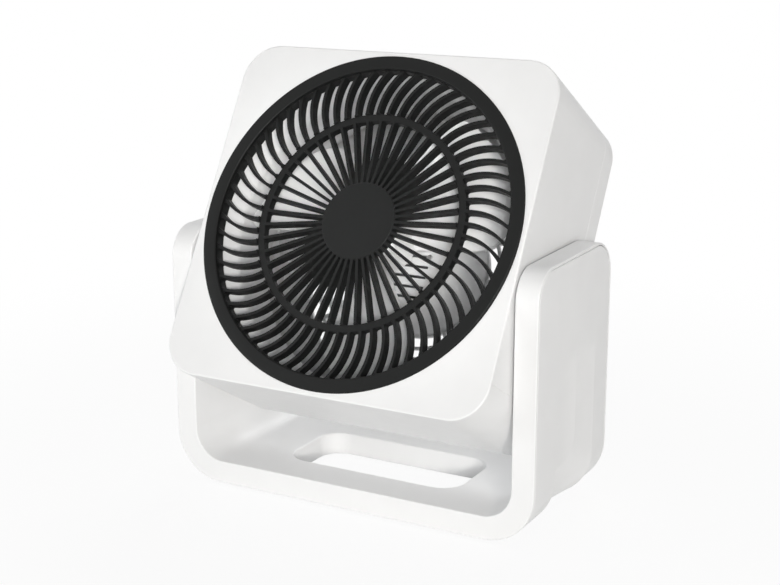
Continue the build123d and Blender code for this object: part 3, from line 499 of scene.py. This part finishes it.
@dataclass(frozen=True)
class Screw:
    """A pan-head screw with a cross recess.

    The length and the two radii are in millimetres. The recess, the dome and the point are given as
    shares of those radii and of the head's height, and the turn from one screw to the next in radians.
    """

    length: float
    head: float = 3.2
    shank: float = 1.5
    head_height: float = 0.45
    recess_half: float = 0.11
    recess_reach: float = 0.5
    recess_depth: float = 0.75
    recess_taper: float = 0.8
    dome: tuple[Spot, ...] = ((0.74, 1.0), (0.94, 0.8), (1.0, 0.5), (1.0, 0.0))
    point: float = 0.3
    turn: float = 0.7

    def recess_line(self, part: float) -> float:
        """Move a coordinate of a grid from -1 to 1 to a side or an end of the recess."""
        share = self.recess_half if abs(part) < 0.5 else self.recess_reach
        return math.copysign(share, part) * self.head

    def build(self) -> bmesh.types.BMesh:
        """Model the screw along z, with the underside of its head at the origin.

        Returns:
            The screw.
        """
        height = self.head_height * self.head
        shell = bmesh.new()
        bmesh.ops.create_grid(shell, x_segments=3, y_segments=3, size=1.0)
        for vert in shell.verts:
            vert.co = (self.recess_line(vert.co.x), self.recess_line(vert.co.y), height)
        rim = [edge for edge in shell.edges if edge.is_boundary]
        half = self.recess_half * self.head
        cross = [
            face for face in shell.faces if min(abs(part) for part in face.calc_center_median().xy) < half
        ]
        sunk = bmesh.ops.extrude_face_region(shell, geom=cross)["geom"]
        bmesh.ops.delete(shell, geom=[face for face in cross if face.is_valid], context="FACES")
        floor = [part for part in sunk if isinstance(part, bmesh.types.BMVert)]
        bmesh.ops.translate(shell, verts=floor, vec=(0.0, 0.0, -self.recess_depth * height))
        bmesh.ops.scale(shell, verts=floor, vec=(self.recess_taper, self.recess_taper, 1.0))
        bmesh.ops.subdivide_edges(shell, edges=rim, cuts=1)
        loop = [edge for edge in shell.edges if edge.is_boundary]
        rings = [(radius * self.head, level * height) for radius, level in self.dome]
        rings += [(self.shank, 0.0), (self.shank, self.shank - self.length)]
        rings += [(self.point * self.shank, -self.length)]
        for radius, level in rings:
            loop = widened(shell, loop, radius, level)
        bmesh.ops.edgeloop_fill(shell, edges=loop)
        bmesh.ops.recalc_face_normals(shell, faces=shell.faces)
        return shell

    def at(self, spots: Iterable[Matrix]) -> bmesh.types.BMesh:
        """Model one screw at each spot, each turned a little further than the last.

        Args:
            spots: The places of the screws in the row frame.

        Returns:
            All the screws as one mesh.
        """
        whole = bmesh.new()
        for number, spot in enumerate(spots):
            one = self.build()
            one.transform(spot @ Matrix.Rotation(self.turn * number, 4, "Z"))
            join(whole, one)
        return whole


@dataclass
class Assembly(ABC):
    """What every sub-assembly shares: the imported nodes, the finishes and the ways to add a piece."""

    nodes: dict[str, bpy.types.Object]
    slots: dict[str, Slot]
    materials: dict[Slot, bpy.types.Material]

    @abstractmethod
    def build(self) -> None:
        """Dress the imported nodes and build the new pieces."""

    def dress(self, *names: str) -> None:
        """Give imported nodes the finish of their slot.

        Args:
            names: The nodes.
        """
        for name in names:
            mesh = self.nodes[name].data
            mesh.materials.clear()
            mesh.materials.append(self.materials[self.slots[name]])
            LOG.info("dressed %s", name)

    def add(
        self, name: str, shell: bmesh.types.BMesh, body: Body, slot: Slot, *replaced: str
    ) -> bpy.types.Object:
        """Make a piece of a mesh that is already in place.

        Args:
            name: The piece's name.
            shell: Its mesh in the row frame, which is used up.
            body: The group that it moves with.
            slot: The slot of its finish.
            replaced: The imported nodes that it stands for.

        Returns:
            The new piece.
        """
        mesh = bpy.data.meshes.new(name)
        shell.to_mesh(mesh)
        shell.free()
        mesh.shade_smooth()
        mesh.set_sharp_from_angle(angle=SHARP_ANGLE)
        mesh.materials.append(self.materials[slot])
        piece = bpy.data.objects.new(name, mesh)
        bpy.context.scene.collection.objects.link(piece)
        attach(piece, body.value)
        if replaced:
            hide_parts(*replaced)
        LOG.info("built %s", name)
        return piece

    def add_screws(
        self, node: str, screw: Screw, body: Body, space: Matrix, spots: Iterable[Matrix]
    ) -> None:
        """Stand cross-head screws in for a node.

        Args:
            node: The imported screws.
            screw: Their size.
            body: The group that they move with.
            space: The space that their places are given in.
            spots: Their places.
        """
        heads = screw.at([space @ spot for spot in spots])
        self.add(node + "_cross_head", heads, body, Slot.STEEL, node)

    def soften(self, node: str, body: Body, width: float, shape: Shaper | None = None) -> None:
        """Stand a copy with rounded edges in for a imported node.

        Args:
            node: The node.
            body: The group that it moves with.
            width: The width of the rounding in millimetres.
            shape: What else is done to the copy's mesh, before the rounding.
        """
        shell = bmesh.new()
        shell.from_mesh(self.nodes[node].data)
        bmesh.ops.remove_doubles(shell, verts=shell.verts, dist=MERGE * MM)
        bmesh.ops.dissolve_limit(
            shell, angle_limit=FLAT_ANGLE, verts=shell.verts, edges=shell.edges, use_dissolve_boundaries=False
        )
        if shape is not None:
            shape(shell)
        piece = self.add(node + "_soft", shell, body, self.slots[node], node)
        if "custom_normal" in piece.data.attributes:
            piece.data.attributes.remove(piece.data.attributes["custom_normal"])
        rounding = piece.modifiers.new("rounding", "BEVEL")
        rounding.width = width * MM
        rounding.segments = 2
        rounding.limit_method = "ANGLE"
        rounding.angle_limit = ROUNDED_ANGLE
        rounding.harden_normals = True
        weld = piece.modifiers.new("weld", "WELD")
        weld.merge_threshold = WELD * MM


@dataclass
class Stand(Assembly):
    """The U-shaped stand with its covers, feet and screws; sizes in millimetres."""

    arm_inside: float = 152.5
    base_screw: Screw = Screw(9.0)
    base_spots: tuple[Spot, ...] = (
        (-100.0, -26.0), (-100.0, 26.0), (100.0, -26.0), (100.0, 26.0), (0.0, -58.0), (0.0, 58.0)
    )
    arm_screw: Screw = Screw(10.0)
    arm_spots: tuple[Spot, ...] = ((-58.0, 104.0), (-58.0, 186.0), (60.0, 62.0), (60.0, 186.0))
    foot_spots: tuple[Spot, ...] = ((-114.0, -56.0), (-114.0, 56.0), (114.0, -56.0), (114.0, 56.0))
    foot_profile: tuple[Spot, ...] = (
        (0.0, 0.8), (10.0, 0.8), (10.0, -1.4), (9.8, -1.8), (9.4, -2.0), (7.4, -2.0), (7.0, -1.5),
        (6.0, -1.5), (5.6, -2.0), (3.4, -2.0), (3.0, -1.5), (2.0, -1.5), (1.6, -2.0), (0.0, -2.0)
    )
    foot_steps: int = 48
    cover_rounding: float = 0.5
    cover_side: float = 172.5
    cover_skin: float = 3.0
    flute_front: float = -35.6
    flute_rear: float = 41.6
    flute_top: float = 148.0
    flute_fade: float = 10.0
    fade_steps: int = 8
    fade_slack: float = 0.01
    least_outward: float = 0.1

    def build(self) -> None:
        """Dress the stand and build its covers, feet and screws."""
        self.dress("stand_frame", "base_plate", "left_pivot_bush", "right_pivot_bush")
        for cover in ("left_arm_cover", "right_arm_cover"):
            self.soften(cover, Body.STAND, self.cover_rounding, self.fade_flutes)
        self.build_feet()
        below = [Matrix.Translation((x, y, 0.0)) @ UPSIDE_DOWN for x, y in self.base_spots]
        self.add_screws("base_screws", self.base_screw, Body.STAND, STAND_SPACE, below)
        inward = []
        for side in (-1, 1):
            turn = Matrix.Rotation(-side * math.pi / 2, 4, "Y")
            inward += [Matrix.Translation((side * self.arm_inside, y, z)) @ turn for y, z in self.arm_spots]
        self.add_screws("arm_cover_screws", self.arm_screw, Body.STAND, STAND_SPACE, inward)

    def fade_flutes(self, shell: bmesh.types.BMesh) -> None:
        """Fade the upper ends of the flutes into the flat side of a cover.

        Args:
            shell: The cover's mesh in the row frame.
        """
        shell.transform(STAND_SPACE.inverted())
        for step in range(1, self.fade_steps + 1):
            level = self.flute_top - self.flute_fade * step / self.fade_steps
            whole = shell.verts[:] + shell.edges[:] + shell.faces[:]
            bmesh.ops.bisect_plane(shell, geom=whole, plane_co=(0.0, 0.0, level), plane_no=(0.0, 0.0, 1.0))
        shell.normal_update()
        for vert in shell.verts:
            side = math.copysign(1.0, vert.co.x)
            reach = abs(vert.co.x)
            below = (self.flute_top - vert.co.z) / self.flute_fade
            fading = self.flute_front < vert.co.y < self.flute_rear and -self.fade_slack < below < 1.0
            outer = vert.normal.x * side > self.least_outward and reach > self.cover_side - self.cover_skin
            if fading and outer:
                share = smoothstep(max(0.0, below))
                vert.co.x = side * (self.cover_side + share * (reach - self.cover_side))
        bmesh.ops.remove_doubles(shell, verts=shell.verts, dist=MERGE)
        bmesh.ops.dissolve_degenerate(shell, dist=MERGE, edges=shell.edges)
        shell.transform(STAND_SPACE)

    def build_feet(self) -> None:
        """Turn the four rubber feet with the rings of their tread."""
        feet = bmesh.new()
        for x, y in self.foot_spots:
            foot = turned(self.foot_profile, self.foot_steps)
            foot.transform(STAND_SPACE @ Matrix.Translation((x, y, 0.0)))
            join(feet, foot)
        self.add("feet_with_tread", feet, Body.STAND, Slot.RUBBER, "rubber_feet")


@dataclass
class Pivot(Assembly):
    """The pins, washers and screws that the head turns on."""

    def build(self) -> None:
        """Dress the pivot's hardware."""
        self.dress("left_pivot_pin", "right_pivot_pin", "pivot_washers", "spring_washers", "pivot_screws")


@dataclass
class Housing(Assembly):
    """The box of the head with its rear inlet; sizes in millimetres."""

    shell_screw: Screw = Screw(12.0, head=2.8)
    shell_seat: float = -124.0
    shell_edge: float = 142.5
    shell_spread: float = 96.0
    cover_screw: Screw = Screw(10.0, head=2.6)
    cover_circle: float = 123.2
    cover_screws: int = 6
    cover_rounding: float = 0.45
    gland_rounding: float = 0.6

    def build(self) -> None:
        """Dress the housing and build its rear cover, gland and screws."""
        self.dress("front_frame", "upper_shell", "lower_shell", "rear_shell", "air_duct")
        self.soften("rear_cover", Body.HEAD, self.cover_rounding)
        self.soften("cord_gland", Body.HEAD, self.gland_rounding)
        edge, spread = self.shell_edge, self.shell_spread
        spots = [(x, y) for x in (-spread, spread) for y in (-edge, edge)] + [(-edge, 0.0), (edge, 0.0)]
        wells = [Matrix.Translation((x, y, self.shell_seat)) @ UPSIDE_DOWN for x, y in spots]
        self.add_screws("rear_shell_screws", self.shell_screw, Body.HEAD, HEAD_SPACE, wells)
        circle = circle_spots(self.cover_circle, self.cover_screws, REAR_FACE)
        behind = [spot @ UPSIDE_DOWN for spot in circle]
        self.add_screws("rear_cover_screws", self.cover_screw, Body.HEAD, HEAD_SPACE, behind)


@dataclass
class SpiralGrille(Assembly):
    """The black front grille: its rim, swept vanes, mid ring, radial vanes and hub; sizes in millimetres."""

    vane_rounding: float = 0.45

    def build(self) -> None:
        """Round the edges of the vanes and rings."""
        self.soften("front_grille", Body.HEAD, self.vane_rounding)


@dataclass
class Motor(Assembly):
    """The motor in its vented cover; sizes in millimetres and degrees."""

    cover_rounding: float = 0.4
    cover_front: float = -72.0
    screw: Screw = Screw(8.0, head=2.4)
    screw_circle: float = 36.5
    screws: int = 4
    screw_turn: float = -7.0

    def build(self) -> None:
        """Dress the motor and build its cover and the cover's screws."""
        self.dress(
            "front_end_bell", "rear_end_bell", "stator_core", "stator_windings", "motor_bolts",
            "front_bearing", "rear_bearing",
        )
        self.soften("motor_cover", Body.HEAD, self.cover_rounding)
        spots = circle_spots(self.screw_circle, self.screws, self.cover_front, self.screw_turn)
        self.add_screws("motor_cover_screws", self.screw, Body.HEAD, HEAD_SPACE, spots)


@dataclass
class Impeller(Assembly):
    """The fan on its shaft."""

    def build(self) -> None:
        """Dress the fan, its nut, the shaft and the rotor."""
        self.dress("fan_blade", "blade_nut", "motor_shaft", "rotor_core")


@dataclass
class SpeedControl(Assembly):
    """The speed switch with its knob and dial; sizes in millimetres and degrees."""

    knob_rounding: float = 0.4
    digits: tuple[str, ...] = ("0", "1", "2", "3")
    step: float = 45.0
    digit_circle: float = 29.5
    digit_height: float = 6.5
    tick_circle: float = 23.5
    tick: Point = (0.9, 3.0, 0.3)
    print_thickness: float = 0.12
    print_rounding: float = 0.1
    pointer: Point = (1.2, 11.5, 0.3)
    pointer_middle: float = 9.5
    pointer_face: float = -165.3

    def build(self) -> None:
        """Dress the switch and build the knob, its line and the dial."""
        self.dress("speed_switch", "switch_spindle")
        self.soften("speed_knob", Body.SPEED, self.knob_rounding)
        self.build_dial()
        line = block(self.pointer, self.print_rounding)
        line.transform(HEAD_SPACE @ Matrix.Translation((0.0, self.pointer_middle, self.pointer_face)))
        self.add("knob_pointer_line", line, Body.SPEED, Slot.BLACK)

    def build_dial(self) -> None:
        """Print the dial round the knob: a tick and a number for each speed."""
        dial = bmesh.new()
        for number, digit in enumerate(self.digits):
            turn = Matrix.Rotation(math.radians(number * self.step), 4, "Z")
            mark = block(self.tick, self.print_rounding)
            mark.transform(HEAD_SPACE @ turn @ Matrix.Translation((0.0, self.tick_circle, REAR_FACE)))
            join(dial, mark)
            spot = turn @ Vector((0.0, self.digit_circle, REAR_FACE))
            figure = self.figure(digit)
            figure.transform(HEAD_SPACE @ Matrix.Translation(spot) @ Matrix.Rotation(math.pi, 4, "Y"))
            join(dial, figure)
        self.add("speed_dial", dial, Body.HEAD, Slot.BLACK)

    def figure(self, digit: str) -> bmesh.types.BMesh:
        """Model one number, centred on the origin and readable from +z.

        Args:
            digit: The number.

        Returns:
            Its mesh.
        """
        words = bpy.data.curves.new("digit", "FONT")
        words.body = digit
        words.size = self.digit_height
        words.extrude = self.print_thickness
        words.align_x = "CENTER"
        words.align_y = "CENTER"
        writing = bpy.data.objects.new("digit", words)
        mesh = bpy.data.meshes.new_from_object(writing)
        figure = bmesh.new()
        figure.from_mesh(mesh)
        bmesh.ops.remove_doubles(figure, verts=figure.verts, dist=FINE_MERGE)
        bpy.data.objects.remove(writing)
        bpy.data.curves.remove(words)
        bpy.data.meshes.remove(mesh)
        return figure


@dataclass(frozen=True)
class PhotoCamera:
    """The camera at the photograph's viewing angle: place in metres, turns in degrees, lens in millimetres."""

    place: Point = (0.61813, -1.12757, 0.50939)
    yaw: float = 28.892
    pitch: float = 14.689
    lens: float = 70.86
    sensor: float = 36.0

    def build(self) -> None:
        """Add the camera and make it the scene's own."""
        view = bpy.data.cameras.new("photo_camera")
        view.sensor_fit = "HORIZONTAL"
        view.sensor_width = self.sensor
        view.lens = self.lens
        camera = bpy.data.objects.new("photo_camera", view)
        camera.location = self.place
        camera.rotation_euler = (math.radians(90 - self.pitch), 0.0, math.radians(self.yaw))
        bpy.context.scene.collection.objects.link(camera)
        bpy.context.scene.camera = camera


@dataclass(frozen=True)
class Softbox:
    """A square soft light that faces a point: metres, watts and degrees."""

    name: str
    place: Point
    power: float
    side: float
    colour: Colour = PLAIN_LIGHT
    aim: Point = (0.0, 0.0, 0.2)
    spread: float = 180.0

    def build(self) -> None:
        """Add the light to the scene."""
        lamp = bpy.data.lights.new(self.name, "AREA")
        lamp.energy = self.power
        lamp.size = self.side
        lamp.color = self.colour
        lamp.spread = math.radians(self.spread)
        box = bpy.data.objects.new(self.name, lamp)
        box.location = self.place
        direction = Vector(self.aim) - Vector(self.place)
        box.rotation_euler = direction.to_track_quat("-Z", "Y").to_euler()
        bpy.context.scene.collection.objects.link(box)


@dataclass(frozen=True)
class Studio:
    """The pale floor, the white surroundings and the soft lights; sizes in metres."""

    floor_radius: float = 8.0
    floor_sides: int = 96
    floor_colour: Colour = (0.93, 0.93, 0.93)
    near: float = 0.2
    far: float = 0.9
    glow_near: float = 0.92
    glow_far: float = 1.0
    sky: float = 0.21
    seen_sky: float = 1.0
    lights: tuple[Softbox, ...] = (
        Softbox("camera_light", (1.607, -2.831, 0.927), 27.0, 0.5, COOL_LIGHT, HEAD_MIDDLE),
        Softbox("grille_light", (0.742, -1.341, 0.561), 0.065, 0.16, PLAIN_LIGHT, HEAD_MIDDLE, 8.0),
        Softbox("key_light", (2.546, -3.506, 0.964), 79.0, 0.5, WARM_LIGHT),
        Softbox("left_light", (-1.9, -1.2, 0.4), 15.5, 1.2, COOL_LIGHT),
        Softbox("back_light", (-0.3, 2.6, 2.5), 34.0, 1.6, PALE_LIGHT),
    )

    def build(self) -> None:
        """Add the floor, the world and the lights."""
        self.build_floor()
        self.build_world()
        for light in self.lights:
            light.build()
        bpy.context.scene.view_settings.view_transform = "Standard"

    def build_floor(self) -> None:
        """Add a round floor that pales to plain white away from the fan."""
        disc = bmesh.new()
        bmesh.ops.create_circle(disc, cap_ends=True, segments=self.floor_sides, radius=self.floor_radius)
        mesh = bpy.data.meshes.new("floor")
        disc.to_mesh(mesh)
        disc.free()
        floor = bpy.data.objects.new("floor", mesh)
        bpy.context.scene.collection.objects.link(floor)
        mesh.materials.append(self.floor_material())

    def floor_material(self) -> bpy.types.Material:
        """The floor's material: a matte pale surface with a white glow that grows outwards.

        Returns:
            The material.
        """
        shader = ShaderTree(bpy.data.materials.new("floor_paper"), "OutputMaterial")
        matte = shader.add("BsdfDiffuse", Color=(*self.floor_colour, 1.0))
        glow = shader.add("Emission", Color=(*PLAIN_LIGHT, 1.0), Strength=1.0)
        fade = shader.add(
            "MapRange", From_Min=self.near, From_Max=self.far, To_Min=self.glow_near, To_Max=self.glow_far
        )
        fade.interpolation_type = "SMOOTHSTEP"
        shader.join(shader.length(shader.object_coordinates()), fade.inputs["Value"])
        mix = shader.add("MixShader")
        share = shader.calculate("MULTIPLY", fade.outputs["Result"], shader.seen_rays())
        shader.join(share, mix.inputs["Fac"])
        shader.join(matte.outputs["BSDF"], mix.inputs[1])
        shader.join(glow.outputs["Emission"], mix.inputs[2])
        shader.show(mix.outputs["Shader"])
        return shader.owner

    def build_world(self) -> None:
        """Light the scene from a plain white sky that shows as white."""
        world = bpy.data.worlds.new("white_room")
        bpy.context.scene.world = world
        shader = ShaderTree(world, "OutputWorld")
        mix = shader.add("MixShader")
        shader.join(shader.seen_rays(), mix.inputs["Fac"])
        for index, strength in ((1, self.sky), (2, self.seen_sky)):
            background = shader.add("Background", Color=(*PLAIN_LIGHT, 1.0), Strength=strength)
            shader.join(background.outputs["Background"], mix.inputs[index])
        shader.show(mix.outputs["Shader"])


def main() -> None:
    """Build the dressed fan and its studio."""
    logging.basicConfig(level=logging.INFO, format="%(message)s")
    for leftover in list(bpy.data.objects):
        bpy.data.objects.remove(leftover)
    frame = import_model()
    PhotoCamera().build()
    materials = {finish.slot: finish.material() for finish in FINISHES}
    slots = {row["node"]: Slot(row["material_slot"]) for row in frame["record"]["subparts"]}
    for assembly in (Stand, Pivot, Housing, SpiralGrille, Motor, Impeller, SpeedControl):
        assembly(frame["nodes"], slots, materials).build()
        LOG.info("finished %s", assembly.__name__)
    Studio().build()


if __name__ == "__main__":
    main()
